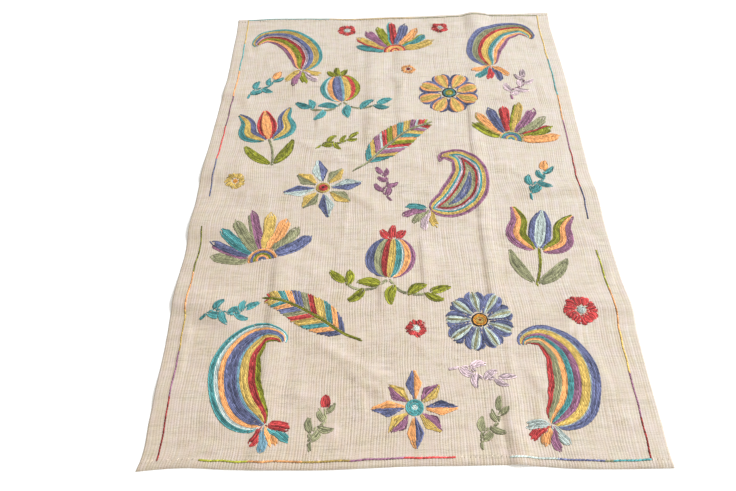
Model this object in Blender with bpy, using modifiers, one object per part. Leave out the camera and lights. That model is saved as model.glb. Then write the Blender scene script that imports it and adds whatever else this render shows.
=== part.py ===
"""A flat-woven cotton rug, lying open on a floor with the soft creases of its storage folds.

X runs across the rug and Y from its near hem to its far hem. The origin is at the middle of
the underside, which touches the floor at z = 0 everywhere between the creases.
"""
import math

import bmesh
import bpy
import numpy as np

WIDTH = 1.200
LENGTH = 1.800

# The ends are turned under and stitched, so the cloth is thicker there.
CLOTH_THICKNESS = 0.0032
HEM_THICKNESS = 0.0046
HEM_DEPTH = 0.019
HEM_STEP = 0.004

# The woven edge is rounded.
EDGE_ROUND = 0.0012
EDGE_STEPS = 2
EDGE_ANGLE = math.radians(50)

# The grid of the cloth is coarse where it lies flat and close where it bends.
COARSE_PITCH = 0.046
FINE_PITCH = 0.013
FINE_REACH = 0.055
LINE_SAMPLES = 2400

# A crease that runs this many times as far one way as the other has close grid lines one way only.
STRAIGHT = 4

# How far the two long edges stand outside the straight sides, from the near end to the far end.
SIDE_COLUMNS = ("station", "left", "right")
SIDE_EDGES = (
    (0.00, 0.006, 0.000),
    (0.03, 0.000, -0.002),
    (0.12, 0.001, -0.001),
    (0.24, 0.002, -0.002),
    (0.36, 0.004, 0.001),
    (0.42, 0.007, 0.005),
    (0.48, 0.009, 0.001),
    (0.54, 0.009, -0.003),
    (0.63, 0.005, -0.006),
    (0.73, 0.010, -0.007),
    (0.83, 0.008, -0.004),
    (0.89, 0.009, -0.010),
    (0.97, 0.010, -0.009),
    (1.14, 0.004, -0.007),
    (1.26, 0.000, -0.005),
    (1.42, -0.005, -0.003),
    (1.60, -0.004, -0.007),
    (1.72, -0.002, -0.008),
    (1.80, 0.002, -0.003),
)

# How far the two hemmed ends stand outside the straight ends, from the left to the right.
END_COLUMNS = ("station", "near", "far")
END_EDGES = (
    (0.00, 0.005, 0.000),
    (0.05, 0.000, 0.001),
    (0.11, -0.003, 0.003),
    (0.20, 0.001, 0.004),
    (0.33, 0.003, -0.001),
    (0.42, 0.003, -0.006),
    (0.52, -0.001, -0.005),
    (0.62, -0.005, -0.002),
    (0.74, -0.006, 0.000),
    (0.84, -0.007, 0.002),
    (0.90, -0.004, 0.006),
    (0.97, 0.001, 0.005),
    (1.08, 0.003, 0.002),
    (1.20, 0.001, 0.000),
)

# The creases of the rug's folds, each a line from one place to another that bows to one side.
# Followed from its first end, it falls off steeply on its right and gently on its left.
# A ridge has one line. A trough is the gap between two low swells.
CREASE_COLUMNS = ("name", "from_x", "from_y", "to_x", "to_y", "bow", "height", "steep", "gentle", "fade")
CREASES = (
    ("right_ridge", 0.266, 0.520, 0.254, -0.580, 0.010, 0.0054, 0.026, 0.046, 0.16),
    ("right_ridge_near", 0.253, -0.650, 0.258, -1.000, 0.000, 0.0054, 0.026, 0.042, 0.10),
    ("left_ridge", -0.333, -0.100, -0.340, -1.000, -0.004, 0.0052, 0.027, 0.058, 0.28),
    ("far_edge_lift", 0.302, 1.020, 0.318, 0.700, 0.000, 0.0095, 0.050, 0.065, 0.16),
    ("middle_swell_left", -0.072, 0.900, -0.078, 0.060, 0.004, 0.0030, 0.034, 0.070, 0.16),
    ("middle_swell_right", 0.030, 0.900, 0.026, 0.100, 0.004, 0.0024, 0.034, 0.060, 0.16),
    ("left_cross_ridge", -0.680, -0.190, -0.400, -0.178, 0.004, 0.0084, 0.046, 0.120, 0.10),
    ("left_cross_upper", -0.680, 0.040, -0.400, 0.048, -0.003, 0.0074, 0.046, 0.115, 0.10),
    ("right_cross_ridge", 0.300, -0.056, 0.680, -0.040, -0.004, 0.0062, 0.034, 0.100, 0.10),
    ("right_cross_lower", 0.380, -0.472, 0.680, -0.462, 0.003, 0.0050, 0.038, 0.090, 0.10),
    ("left_slant", -0.680, -0.405, -0.380, -0.520, 0.004, 0.0080, 0.040, 0.095, 0.10),
    ("left_cross_near", -0.680, -0.712, -0.440, -0.706, 0.000, 0.0036, 0.046, 0.085, 0.08),
    ("left_cross_far", -0.680, 0.452, -0.480, 0.440, 0.000, 0.0044, 0.042, 0.085, 0.08),
    ("middle_slant_far", -0.170, -0.030, -0.040, -0.125, 0.000, 0.0034, 0.018, 0.034, 0.05),
    ("middle_slant_near", -0.240, -0.560, -0.020, -0.690, 0.003, 0.0052, 0.015, 0.026, 0.06),
)

CLOTH_COLOUR = (0.760, 0.664, 0.556)
CLOTH_ROUGHNESS = 0.92


def clear_scene():
    """Remove whatever the scene holds."""
    for item in list(bpy.data.objects):
        bpy.data.objects.remove(item, do_unlink=True)


def column(table, columns, name):
    """One named column of a table, as an array."""
    return np.array([row[columns.index(name)] for row in table])


def smooth_curve(stations, values, where):
    """Values between the stations of a table, along a smooth curve through its rows."""
    slopes = np.gradient(values, stations)
    row = np.clip(np.searchsorted(stations, where) - 1, 0, len(stations) - 2)
    step = stations[row + 1] - stations[row]
    t = (where - stations[row]) / step
    start = (2 * t ** 3 - 3 * t ** 2 + 1) * values[row] + (t ** 3 - 2 * t ** 2 + t) * step * slopes[row]
    end = (3 * t ** 2 - 2 * t ** 3) * values[row + 1] + (t ** 3 - t ** 2) * step * slopes[row + 1]
    return start + end


def edge_reading(table, columns, name, where):
    """How far an edge stands outside its straight line, at stations from 0 to its full length."""
    return smooth_curve(column(table, columns, "station"), column(table, columns, name), where)


def lay_out(x, y):
    """Move points of the straight rectangle to the uneven outline."""
    along = y + LENGTH / 2
    across = x + WIDTH / 2
    left = edge_reading(SIDE_EDGES, SIDE_COLUMNS, "left", along)
    right = edge_reading(SIDE_EDGES, SIDE_COLUMNS, "right", along)
    near = edge_reading(END_EDGES, END_COLUMNS, "near", across)
    far = edge_reading(END_EDGES, END_COLUMNS, "far", across)
    right_share = across / WIDTH
    far_share = along / LENGTH
    moved_x = x - left * (1 - right_share) ** 2 + right * right_share ** 2
    moved_y = y - near * (1 - far_share) ** 2 + far * far_share ** 2
    return moved_x, moved_y


def crease_height(x, y):
    """Height of the underside over the floor, from the creases that cross a place."""
    total = np.zeros_like(x)
    for row in CREASES:
        crease = dict(zip(CREASE_COLUMNS, row))
        run_x = crease["to_x"] - crease["from_x"]
        run_y = crease["to_y"] - crease["from_y"]
        length = math.hypot(run_x, run_y)
        from_x = x - crease["from_x"]
        from_y = y - crease["from_y"]
        along = (from_x * run_x + from_y * run_y) / length
        aside = (from_x * run_y - from_y * run_x) / length
        share = np.clip(along / length, 0, 1)
        off = aside - crease["bow"] * 4 * share * (1 - share)
        off = off / np.where(off > 0, crease["steep"], crease["gentle"])
        end = np.clip(np.minimum(along, length - along) / crease["fade"], 0, 1)
        profile = np.clip(1 - off ** 2, 0, 1) ** 2
        total += (crease["height"] * profile * end ** 2 * (3 - 2 * end)) ** 2
    return np.sqrt(total)


def spread_lines(reach, close_to):
    """Grid lines from -reach to reach, closer together beside the places listed."""
    samples = np.linspace(-reach, reach, LINE_SAMPLES)
    density = np.full_like(samples, 1 / COARSE_PITCH)
    for place in close_to:
        nearness = np.clip(1 - np.abs(samples - place) / FINE_REACH, 0, 1)
        density = np.maximum(density, nearness / FINE_PITCH)
    total = np.concatenate(([0], np.cumsum((density[1:] + density[:-1]) / 2 * np.diff(samples))))
    return np.interp(np.linspace(0, total[-1], int(total[-1]) + 1), total, samples)


def crease_places():
    """The columns and rows of the grid that creases run along."""
    upright = []
    level = []
    for row in CREASES:
        crease = dict(zip(CREASE_COLUMNS, row))
        run_x = abs(crease["to_x"] - crease["from_x"])
        run_y = abs(crease["to_y"] - crease["from_y"])
        if run_x < STRAIGHT * run_y:
            upright.append((crease["from_x"] + crease["to_x"]) / 2)
        if run_y < STRAIGHT * run_x:
            level.append((crease["from_y"] + crease["to_y"]) / 2)
    return upright, level


def hem_lines(lines):
    """Put the two lines of each hem's step among the rows, and drop rows too close to them."""
    inner = LENGTH / 2 - HEM_DEPTH
    steps = [-inner - HEM_STEP / 2, -inner + HEM_STEP / 2, inner - HEM_STEP / 2, inner + HEM_STEP / 2]
    kept = [line for line in lines if min(abs(line - step) for step in steps) > 2 * HEM_STEP]
    return np.array(sorted(kept + steps))


def flat_grid(name, columns, rows):
    """A flat grid of the given columns and rows."""
    mesh = bpy.data.meshes.new(name)
    grid = bmesh.new()
    bmesh.ops.create_grid(grid, x_segments=len(columns) - 1, y_segments=len(rows) - 1, size=1)
    for point in grid.verts:
        across = round((point.co.x + 1) / 2 * (len(columns) - 1))
        along = round((point.co.y + 1) / 2 * (len(rows) - 1))
        point.co.x = columns[across]
        point.co.y = rows[along]
    grid.to_mesh(mesh)
    grid.free()
    return bpy.data.objects.new(name, mesh)


def read_points(mesh):
    """The mesh's points as an array of three columns."""
    flat = np.empty(len(mesh.vertices) * 3)
    mesh.vertices.foreach_get("co", flat)
    return flat.reshape(-1, 3)


def mark_hems(rug, y):
    """Weigh the points of both hems, where the cloth has its full thickness."""
    group = rug.vertex_groups.new(name="hem")
    hemmed = np.flatnonzero(np.abs(y) > LENGTH / 2 - HEM_DEPTH)
    group.add([int(point) for point in hemmed], 1.0, "REPLACE")
    return group.name


def thicken(rug, hem_group):
    """Give the sheet its thickness upward, and round its edge."""
    solid = rug.modifiers.new("thickness", "SOLIDIFY")
    solid.thickness = HEM_THICKNESS
    solid.offset = 1.0
    solid.vertex_group = hem_group
    solid.thickness_vertex_group = CLOTH_THICKNESS / HEM_THICKNESS
    edge = rug.modifiers.new("edge", "BEVEL")
    edge.width = EDGE_ROUND
    edge.segments = EDGE_STEPS
    edge.limit_method = "ANGLE"
    edge.angle_limit = EDGE_ANGLE


def cotton():
    """Unbleached cotton, quite matt."""
    material = bpy.data.materials.new("natural_cotton")
    material.use_nodes = True
    shader = material.node_tree.nodes["Principled BSDF"]
    shader.inputs["Base Color"].default_value = (*CLOTH_COLOUR, 1.0)
    shader.inputs["Roughness"].default_value = CLOTH_ROUGHNESS
    shader.inputs["Metallic"].default_value = 0.0
    return material


def make_rug():
    """The rug's cloth, one closed sheet with its hems, outline and creases."""
    upright, level = crease_places()
    columns = spread_lines(WIDTH / 2, upright)
    rows = hem_lines(spread_lines(LENGTH / 2, level))
    rug = flat_grid("rug_cloth", columns, rows)
    points = read_points(rug.data)
    hem_group = mark_hems(rug, points[:, 1])
    x, y = lay_out(points[:, 0], points[:, 1])
    points[:, 2] = crease_height(x, y)
    points[:, 0] = x - (x.min() + x.max()) / 2
    points[:, 1] = y - (y.min() + y.max()) / 2
    rug.data.vertices.foreach_set("co", points.ravel())
    rug.data.materials.append(cotton())
    rug.data.shade_smooth()
    thicken(rug, hem_group)
    return rug


def main():
    """Build the rug in its own collection."""
    clear_scene()
    parts = bpy.data.collections.new("kilim_rug")
    bpy.context.scene.collection.children.link(parts)
    parts.objects.link(make_rug())


main()
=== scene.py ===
"""The looks of a flat-woven cotton rug with yarn embroidery, lying on a pale floor."""
import math
from functools import reduce

import bpy
import numpy as np
from mathutils import Matrix, Vector


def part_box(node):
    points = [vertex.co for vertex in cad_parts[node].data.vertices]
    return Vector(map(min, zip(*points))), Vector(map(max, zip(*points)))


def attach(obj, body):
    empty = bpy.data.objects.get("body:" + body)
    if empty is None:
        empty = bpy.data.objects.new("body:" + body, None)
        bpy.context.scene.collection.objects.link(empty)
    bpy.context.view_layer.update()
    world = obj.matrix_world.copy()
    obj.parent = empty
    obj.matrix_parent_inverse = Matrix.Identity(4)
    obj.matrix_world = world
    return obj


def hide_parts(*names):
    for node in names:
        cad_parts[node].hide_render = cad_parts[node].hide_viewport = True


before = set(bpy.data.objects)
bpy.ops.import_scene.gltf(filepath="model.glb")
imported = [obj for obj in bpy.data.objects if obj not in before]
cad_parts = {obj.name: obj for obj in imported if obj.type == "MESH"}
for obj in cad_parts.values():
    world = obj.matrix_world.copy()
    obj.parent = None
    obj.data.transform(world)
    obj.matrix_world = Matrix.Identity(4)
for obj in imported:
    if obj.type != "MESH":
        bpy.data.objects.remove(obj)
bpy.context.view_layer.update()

LOW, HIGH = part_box("rug_cloth")

# The photograph's viewpoint: place in metres, angles in degrees, focal length in millimetres.
CAMERA_AT = (-0.023, -1.516, 1.530)
CAMERA_TURN = 2.74
CAMERA_DIP = 50.35
CAMERA_ROLL = -2.87
CAMERA_LENS = 34.24
SENSOR_WIDTH = 36.0
CAMERA_REACH = 60

# The rug's straight size before its outline wanders, as in the construction.
WIDTH = 1.200
LENGTH = 1.800

# The cloth: ribs that run lengthwise, hems at both ends.
THICKNESS = 0.0034
RIBS = 182
RIB_RELIEF = 0.0006
RIB_UNEVEN = 0.08
RIB_SPREAD = 0.25
PATCH_LEAST = 0.10
PATCH_SWING = 1.7
MIDDLE_RIBS = 1.12
SIDE_FADE = 0.40
# Waves in which the ribs wander: their size, and how fast they turn across and along.
DRIFT_WAVES = ((0.0018, 9, 14), (0.0014, -5, 31), (0.0005, 44, 73))
DRIFT_MARGIN = 0.03
# The underside has a point at every second row and every third column of the upper side.
UNDER_ROWS = 2
RIB_COLUMNS = 3
HEM_RISE = 0.0010
HEM_DEPTH = 0.019
HEM_STEP = 0.004
HEM_LINE = LENGTH / 2 - HEM_DEPTH
EDGE_DROP = 0.0022
EDGE_ROUND = 0.0055
ROW_PITCH = 0.0128
HEM_ROWS = (0.0040, 0.010)
END_ROWS = (0.0018, 0.005)
LIFT = 0.0002
RIPPLE = 0.0011
RIPPLE_SIZES = (0.31, 0.22, 0.16, 0.12, 0.09)
PATCH_SIZES = (0.16, 0.10, 0.07, 0.05)
WAVES_EACH = 3
WAVE_RANGE = 1.8

# The wrinkles, in millimetres and degrees: the last line has the ranges of their half lengths, heights,
# steep sides, gentle sides and bows.
WRINKLES = 230
WRINKLE_FIELD = (580, 880)
WRINKLE_HEADINGS = (0, 90, -32, 0)
WRINKLE_TURN = 9
WRINKLE_SPANS = ((35, 110), (0.8, 2.8), (11, 20), (18, 36), (-6, 6))

# Seeds of the random draws.
RIPPLE_SEED = 5
WRINKLE_SEED = 8
PATCH_SEED = 3
RIB_SEED = 11
HAND_SEED = 29
STITCH_SEED = 23
HEM_SEED = 41

# Painted shade on the creases' sides that face away from the light: the side that it lies on, and the slope
# that holds the most.
SHADE_HEADING = 38
SHADE_STEP = 0.002
SHADE_SLOPE = 0.26

# One row of yarn beside the next, and one stitch after the next.
YARN_PITCH = 0.0036
YARN_WIDTH = 0.0046
YARN_HEIGHT = 0.0017
STITCH_LENGTH = 0.0170
STITCH_OVERLAP = 0.28
STITCH_SLANT = 0.38
STITCH_SINK = 0.0002
STITCH_POINTS = 17
TIP_DIP = -0.0004
PATH_STEP = 0.002
ROW_MIN_ROOM = 0.56
COVER_CELL = 0.0012
COVER_COLUMNS = int(WIDTH / COVER_CELL)
COVER_ROWS = int(LENGTH / COVER_CELL)
# The slip stitches of the hems: room, pitch, distance from the sides at the first and the last, drift, and
# how far each reaches aside, onto the hem and off it.
HEM_ROOM = 0.0016
HEM_STITCH_PITCH = 0.0115
HEM_FIRST = 0.006
HEM_LAST = 0.004
HEM_DRIFT = 0.0015
HEM_ASIDE = 0.0022
HEM_ONTO = 0.0022
HEM_OFF = 0.0034
# A row has more points than this, and a slanting one more than that.
FEWEST_POINTS = 3
SLANTED_POINTS = 13
# The leaves of a sprig.
LEAF_LENGTH = 0.052
LEAF_HALF = 0.0115
LEAF_LEAN = 0.75
LEAF_TUCK = 0.005
SHAPES_EACH = 100

# How unsteady the hand is: sideways drift of a row, and swelling of a shape, each with its wavelength.
HAND_DRIFT = 0.0005
HAND_WAVE = 0.022
SHAPE_DRIFT = 0.09
SHAPE_MOST = 0.0022
SHAPE_WAVE = 0.036

# How far the long edges stand outside the straight sides, in millimetres: station, left, right.
SIDE_EDGES = (
    (0, 6, 0), (30, 0, -2), (120, 1, -1), (240, 2, -2), (360, 4, 1), (420, 7, 5), (480, 9, 1),
    (540, 9, -3), (630, 5, -6), (730, 10, -7), (830, 8, -4), (890, 9, -10), (970, 10, -9), (1140, 4, -7),
    (1260, 0, -5), (1420, -5, -3), (1600, -4, -7), (1720, -2, -8), (1800, 2, -3),
)

# How far the hemmed ends stand outside the straight ends, in millimetres: station, near, far.
END_EDGES = (
    (0, 5, 0), (50, 0, 1), (110, -3, 3), (200, 1, 4), (330, 3, -1), (420, 3, -6), (520, -1, -5),
    (620, -5, -2), (740, -6, 0), (840, -7, 2), (900, -4, 6), (970, 1, 5), (1080, 3, 2), (1200, 1, 0),
)

# The creases of the rug's folds, in millimetres: x and y of both ends, bow, height, width of the steep side
# on the right, width of the gentle side on the left, and how far it fades in at both ends.
CREASES = (
    # The ridge down the right side, the one on the near left, and the lifted far right edge.
    (262, 520, 250, -580, 10, 4, 18, 42, 160),
    (253, -650, 258, -1000, 0, 5.4, 26, 42, 100),
    (-333, -100, -340, -1000, -4, 5.2, 27, 58, 280),
    (302, 1020, 318, 700, 0, 9.5, 50, 65, 160),
    # The two swells beside the trough of the far middle.
    (-72, 900, -78, 60, 4, 3, 34, 70, 160),
    (30, 900, 26, 100, 4, 2.4, 34, 60, 160),
    # The cross folds at the two long edges.
    (-680, -190, -400, -178, 4, 8.4, 46, 120, 100),
    (-680, 40, -400, 48, -3, 7.4, 46, 115, 100),
    (300, -56, 680, -40, -4, 6.2, 34, 100, 100),
    (380, -472, 680, -462, 3, 5, 38, 90, 100),
    (-680, -405, -380, -520, 4, 8, 40, 95, 100),
    (-680, -712, -440, -706, 0, 3.6, 46, 85, 80),
    (-680, 452, -480, 440, 0, 4.4, 42, 85, 80),
    # The slants near the middle.
    (-170, -30, -40, -125, 0, 3.4, 18, 34, 50),
    (-240, -560, -20, -690, 3, 5.2, 15, 26, 60),
    # Small creases, too fine for the construction.
    (-160, -635, -15, -735, 3, 4.8, 12, 22, 50),
    (70, -190, 76, -470, 3, 2.8, 15, 34, 70),
    (-54, -320, -44, -500, -3, 2.6, 15, 34, 60),
    (-262, 420, -250, 230, 2, 3.4, 18, 44, 70),
    (-352, 640, -340, 400, 2, 2.6, 18, 40, 80),
    (290, -610, 400, -800, 6, 2.8, 20, 32, 80),
    (130, 870, 215, 740, 4, 3.2, 15, 30, 50),
)


def new_object(name, data):
    """An object with this data, in the scene."""
    item = bpy.data.objects.new(name, data)
    bpy.context.scene.collection.objects.link(item)
    return item


def make_camera():
    """A camera at the photograph's viewpoint."""
    data = bpy.data.cameras.new("photo_view")
    data.lens, data.sensor_width, data.clip_end = CAMERA_LENS, SENSOR_WIDTH, CAMERA_REACH
    camera = new_object("photo_view", data)
    turn = Matrix.Rotation(math.radians(CAMERA_TURN), 4, "Z")
    dip = Matrix.Rotation(math.radians(90 - CAMERA_DIP), 4, "X")
    roll = Matrix.Rotation(math.radians(CAMERA_ROLL), 4, "Z")
    camera.matrix_world = Matrix.Translation(CAMERA_AT) @ turn @ dip @ roll
    bpy.context.scene.camera = camera


# Shape of the lying cloth


def smooth_curve(stations, values, where):
    """Values between stations, on a smooth curve."""
    slopes = np.gradient(values, stations, axis=0)
    row = np.clip(np.searchsorted(stations, where) - 1, 0, len(stations) - 2)
    step = stations[row + 1] - stations[row]
    t = (where - stations[row]) / step
    if values.ndim > 1:
        step, t = step[..., None], t[..., None]
    start = (2 * t ** 3 - 3 * t ** 2 + 1) * values[row] + (t ** 3 - 2 * t ** 2 + t) * step * slopes[row]
    end = (3 * t ** 2 - 2 * t ** 3) * values[row + 1] + (t ** 3 - t ** 2) * step * slopes[row + 1]
    return start + end


def edge_readings(table, where):
    """How far a table's two edges stand outside their straight lines."""
    table = np.array(table) / 1000
    return np.moveaxis(smooth_curve(table[:, 0], table[:, 1:], where), -1, 0)


def lay_out(x, y):
    """Move points of the straight rectangle to the uneven outline."""
    along = np.clip(y + LENGTH / 2, 0, LENGTH)
    across = np.clip(x + WIDTH / 2, 0, WIDTH)
    left, right = edge_readings(SIDE_EDGES, along)
    near, far = edge_readings(END_EDGES, across)
    right_share = across / WIDTH
    far_share = along / LENGTH
    moved_x = x - left * (1 - right_share) ** 2 + right * right_share ** 2
    moved_y = y - near * (1 - far_share) ** 2 + far * far_share ** 2
    return moved_x, moved_y


def crease_height(x, y, creases):
    """How high the creases lift the cloth."""
    total = np.zeros_like(x)
    for crease in creases:
        from_x, from_y, to_x, to_y, bow, height, steep, gentle, fade = np.array(crease) / 1000
        run_x, run_y = to_x - from_x, to_y - from_y
        length = math.hypot(run_x, run_y)
        along = ((x - from_x) * run_x + (y - from_y) * run_y) / length
        aside = ((x - from_x) * run_y - (y - from_y) * run_x) / length
        share = np.clip(along / length, 0, 1)
        off = aside - bow * 4 * share * (1 - share)
        off = off / np.where(off > 0, steep, gentle)
        end = np.clip(np.minimum(along, length - along) / fade, 0, 1)
        profile = np.clip(1 - off ** 2, 0, 1) ** 2
        total += (height * profile * end ** 2 * (3 - 2 * end)) ** 2
    return np.sqrt(total)


def wrinkles():
    """Small low creases scattered over the cloth."""
    rng = np.random.default_rng(WRINKLE_SEED)
    rows = []
    for i in range(WRINKLES):
        x, y = (rng.uniform(-reach, reach) for reach in WRINKLE_FIELD)
        heading = math.radians(WRINKLE_HEADINGS[i % 4] + rng.normal(0, WRINKLE_TURN))
        half, height, steep, gentle, bow = (rng.uniform(*span) for span in WRINKLE_SPANS)
        run_x, run_y = half * math.cos(heading), half * math.sin(heading)
        rows.append((x - run_x, y - run_y, x + run_x, y + run_y, bow, height, steep, gentle, half))
    return rows


def uneven(x, y, sizes, seed):
    """A smooth random field from 0 to 1, of waves of these lengths."""
    rng = np.random.default_rng(seed)
    total = np.zeros_like(x)
    for size in sizes:
        for _ in range(WAVES_EACH):
            heading, phase = rng.uniform(0, 2 * math.pi, 2)
            along = x * math.cos(heading) + y * math.sin(heading)
            total += size * np.sin(along * 2 * math.pi / size + phase)
    return np.clip(0.5 + total / (WAVE_RANGE * sum(sizes)), 0, 1)


def hem_share(y):
    """One on both hems and nothing between them."""
    return np.clip((np.abs(y) - HEM_LINE) / HEM_STEP + 0.5, 0, 1)


class Ground:
    """Reads the lying cloth at points of the straight rectangle."""

    def __init__(self):
        edge_y = np.linspace(-LENGTH / 2, LENGTH / 2, 600)
        edge_x = np.linspace(-WIDTH / 2, WIDTH / 2, 400)
        left, right = (lay_out(np.full_like(edge_y, side * WIDTH / 2), edge_y)[0] for side in (-1, 1))
        near, far = (lay_out(edge_x, np.full_like(edge_x, end * LENGTH / 2))[1] for end in (-1, 1))
        self.wrinkles = wrinkles()
        self.shift_x = (LOW.x + HIGH.x) / 2 - (left.min() + right.max()) / 2
        self.shift_y = (LOW.y + HIGH.y) / 2 - (near.min() + far.max()) / 2

    def place(self, x, y):
        """A point's place and the height of the underside there."""
        laid_x, laid_y = lay_out(x, y)
        height = LIFT + crease_height(laid_x, laid_y, CREASES)
        height += crease_height(laid_x, laid_y, self.wrinkles)
        height += RIPPLE * uneven(laid_x, laid_y, RIPPLE_SIZES, RIPPLE_SEED)
        return laid_x + self.shift_x, laid_y + self.shift_y, height

    def top(self, x, y):
        """A point on the crowns of the ribs."""
        laid_x, laid_y, height = self.place(x, y)
        return laid_x, laid_y, height + THICKNESS + HEM_RISE * hem_share(y)


ground = Ground()


# The cloth


def spread_lines(reach, close_to):
    """Grid lines from -reach to reach, at a closer pitch beside some places."""
    samples = np.linspace(-reach, reach, 4800)
    density = np.full_like(samples, 1 / ROW_PITCH)
    for place, (pitch, beside) in close_to:
        nearness = np.clip(1.5 - 1.5 * np.abs(samples - place) / beside, 0, 1)
        density = np.maximum(density, nearness / pitch)
    total = np.concatenate(([0], np.cumsum((density[1:] + density[:-1]) / 2 * np.diff(samples))))
    count = UNDER_ROWS * int(total[-1] / UNDER_ROWS + 0.5)
    return np.interp(np.linspace(0, total[-1], count + 1), total, samples)


def rib_lines(rng):
    """Columns across the rug: their places, rib numbers and shares of the crown."""
    widths = 1 + RIB_UNEVEN * rng.standard_normal(RIBS)
    edges = np.concatenate(([0], np.cumsum(widths))) / widths.sum() * WIDTH - WIDTH / 2
    column = np.arange(RIBS * RIB_COLUMNS + 1)
    number = column / RIB_COLUMNS
    return np.interp(number, np.arange(RIBS + 1), edges), number, (column % RIB_COLUMNS > 0).astype(float)


def rib_strength(x, y, number, rng):
    """How deep the hollows beside the ribs are."""
    own = 1 + RIB_SPREAD * rng.standard_normal(RIBS + 1)[np.floor(number).astype(int)]
    patches = PATCH_LEAST + PATCH_SWING * uneven(x, y, PATCH_SIZES, PATCH_SEED)
    return own * patches * (MIDDLE_RIBS - SIDE_FADE * (2 * x / WIDTH) ** 2)


def rib_drift(x, y):
    """How far the ribs wander sideways."""
    drift = sum(size * np.sin(x * across + y * along) for size, across, along in DRIFT_WAVES)
    return drift * np.clip((WIDTH / 2 - np.abs(x)) / DRIFT_MARGIN, 0, 1)


def painted_shade_sides(x, y, height):
    """How steeply the cloth rises towards the far right, as painted shade on the slopes that face away from
    the light.
    """
    heading = math.radians(SHADE_HEADING)
    _, _, further = ground.place(x + SHADE_STEP * math.cos(heading), y + SHADE_STEP * math.sin(heading))
    return np.clip((further - height) / SHADE_STEP / SHADE_SLOPE, 0, 1)


def grid_faces(index, turn=1):
    """Quads of a grid of numbered points, facing down where turn is -1."""
    quads = np.stack([index[:-1, :-1], index[:-1, 1:], index[1:, 1:], index[1:, :-1]], -1).reshape(-1, 4)
    return quads[:, ::turn].tolist()


def rim_faces(top_line, under_line, turn):
    """Faces between a line of points and a sparser one under it."""
    share = (len(top_line) - 1) // (len(under_line) - 1)
    faces = []
    for i in range(len(under_line) - 1):
        above = top_line[i * share:i * share + share + 1][::-1]
        faces.append((under_line[i], under_line[i + 1], *above)[::turn])
    return faces


def cloth_faces(upper, under):
    """Faces of the upper side, the underside and the rim, in that order."""
    faces = grid_faces(upper) + grid_faces(under, -1)
    faces += rim_faces(upper[0], under[0], 1) + rim_faces(upper[-1], under[-1], -1)
    return faces + rim_faces(upper[:, 0], under[:, 0], -1) + rim_faces(upper[:, -1], under[:, -1], 1)


def new_piece(name, points, faces, smooth_faces, vector_name, vectors):
    """A mesh object whose first faces are smooth, with a named vector at each point."""
    mesh = bpy.data.meshes.new(name)
    mesh.from_pydata(points.tolist(), [], faces)
    mesh.polygons.foreach_set("use_smooth", np.arange(len(faces)) < smooth_faces)
    attribute = mesh.attributes.new(vector_name, "FLOAT_VECTOR", "POINT")
    attribute.data.foreach_set("vector", vectors.astype(np.float32).ravel())
    return new_object(name, mesh)


def make_cloth():
    """The rug's cloth: ribbed above, plainer below, closed round its edge."""
    rng = np.random.default_rng(RIB_SEED)
    place, number, crown = rib_lines(rng)
    lines = ((HEM_LINE, HEM_ROWS), (LENGTH / 2, END_ROWS))
    close_to = [(end * line, rows) for end in (-1, 1) for line, rows in lines]
    x, y = np.meshgrid(place, spread_lines(LENGTH / 2, close_to))
    strength = rib_strength(x, y, number, rng)
    drifted = x + rib_drift(x, y)
    laid_x, laid_y, height = ground.place(drifted, y)
    inward = np.minimum(WIDTH / 2 - np.abs(x), LENGTH / 2 - np.abs(y))
    top = height + THICKNESS + HEM_RISE * hem_share(y) - (1 - crown) * RIB_RELIEF * strength
    top -= (EDGE_DROP + HEM_RISE * hem_share(y)) * np.clip(1 - inward / EDGE_ROUND, 0, 1) ** 2
    # The weave's third part is painted shade on the slopes that face away from the light.
    weave = np.stack([np.broadcast_to(number, x.shape), y, painted_shade_sides(drifted, y, height)], -1)
    upper = np.stack([laid_x, laid_y, top], -1)
    fewer = (slice(None, None, UNDER_ROWS), slice(None, None, RIB_COLUMNS))
    under = np.stack([laid_x, laid_y, height], -1)[fewer]
    upper_at = np.arange(x.size).reshape(x.shape)
    under_at = x.size + np.arange(under.size // 3).reshape(under.shape[:2])
    points = np.concatenate([upper.reshape(-1, 3), under.reshape(-1, 3)])
    vectors = np.concatenate([weave.reshape(-1, 3), weave[fewer].reshape(-1, 3)])
    smooth_faces = (x.shape[0] - 1) * (x.shape[1] - 1)
    return new_piece("cloth", points, cloth_faces(upper_at, under_at), smooth_faces, "weave", vectors)


# Materials


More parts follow.
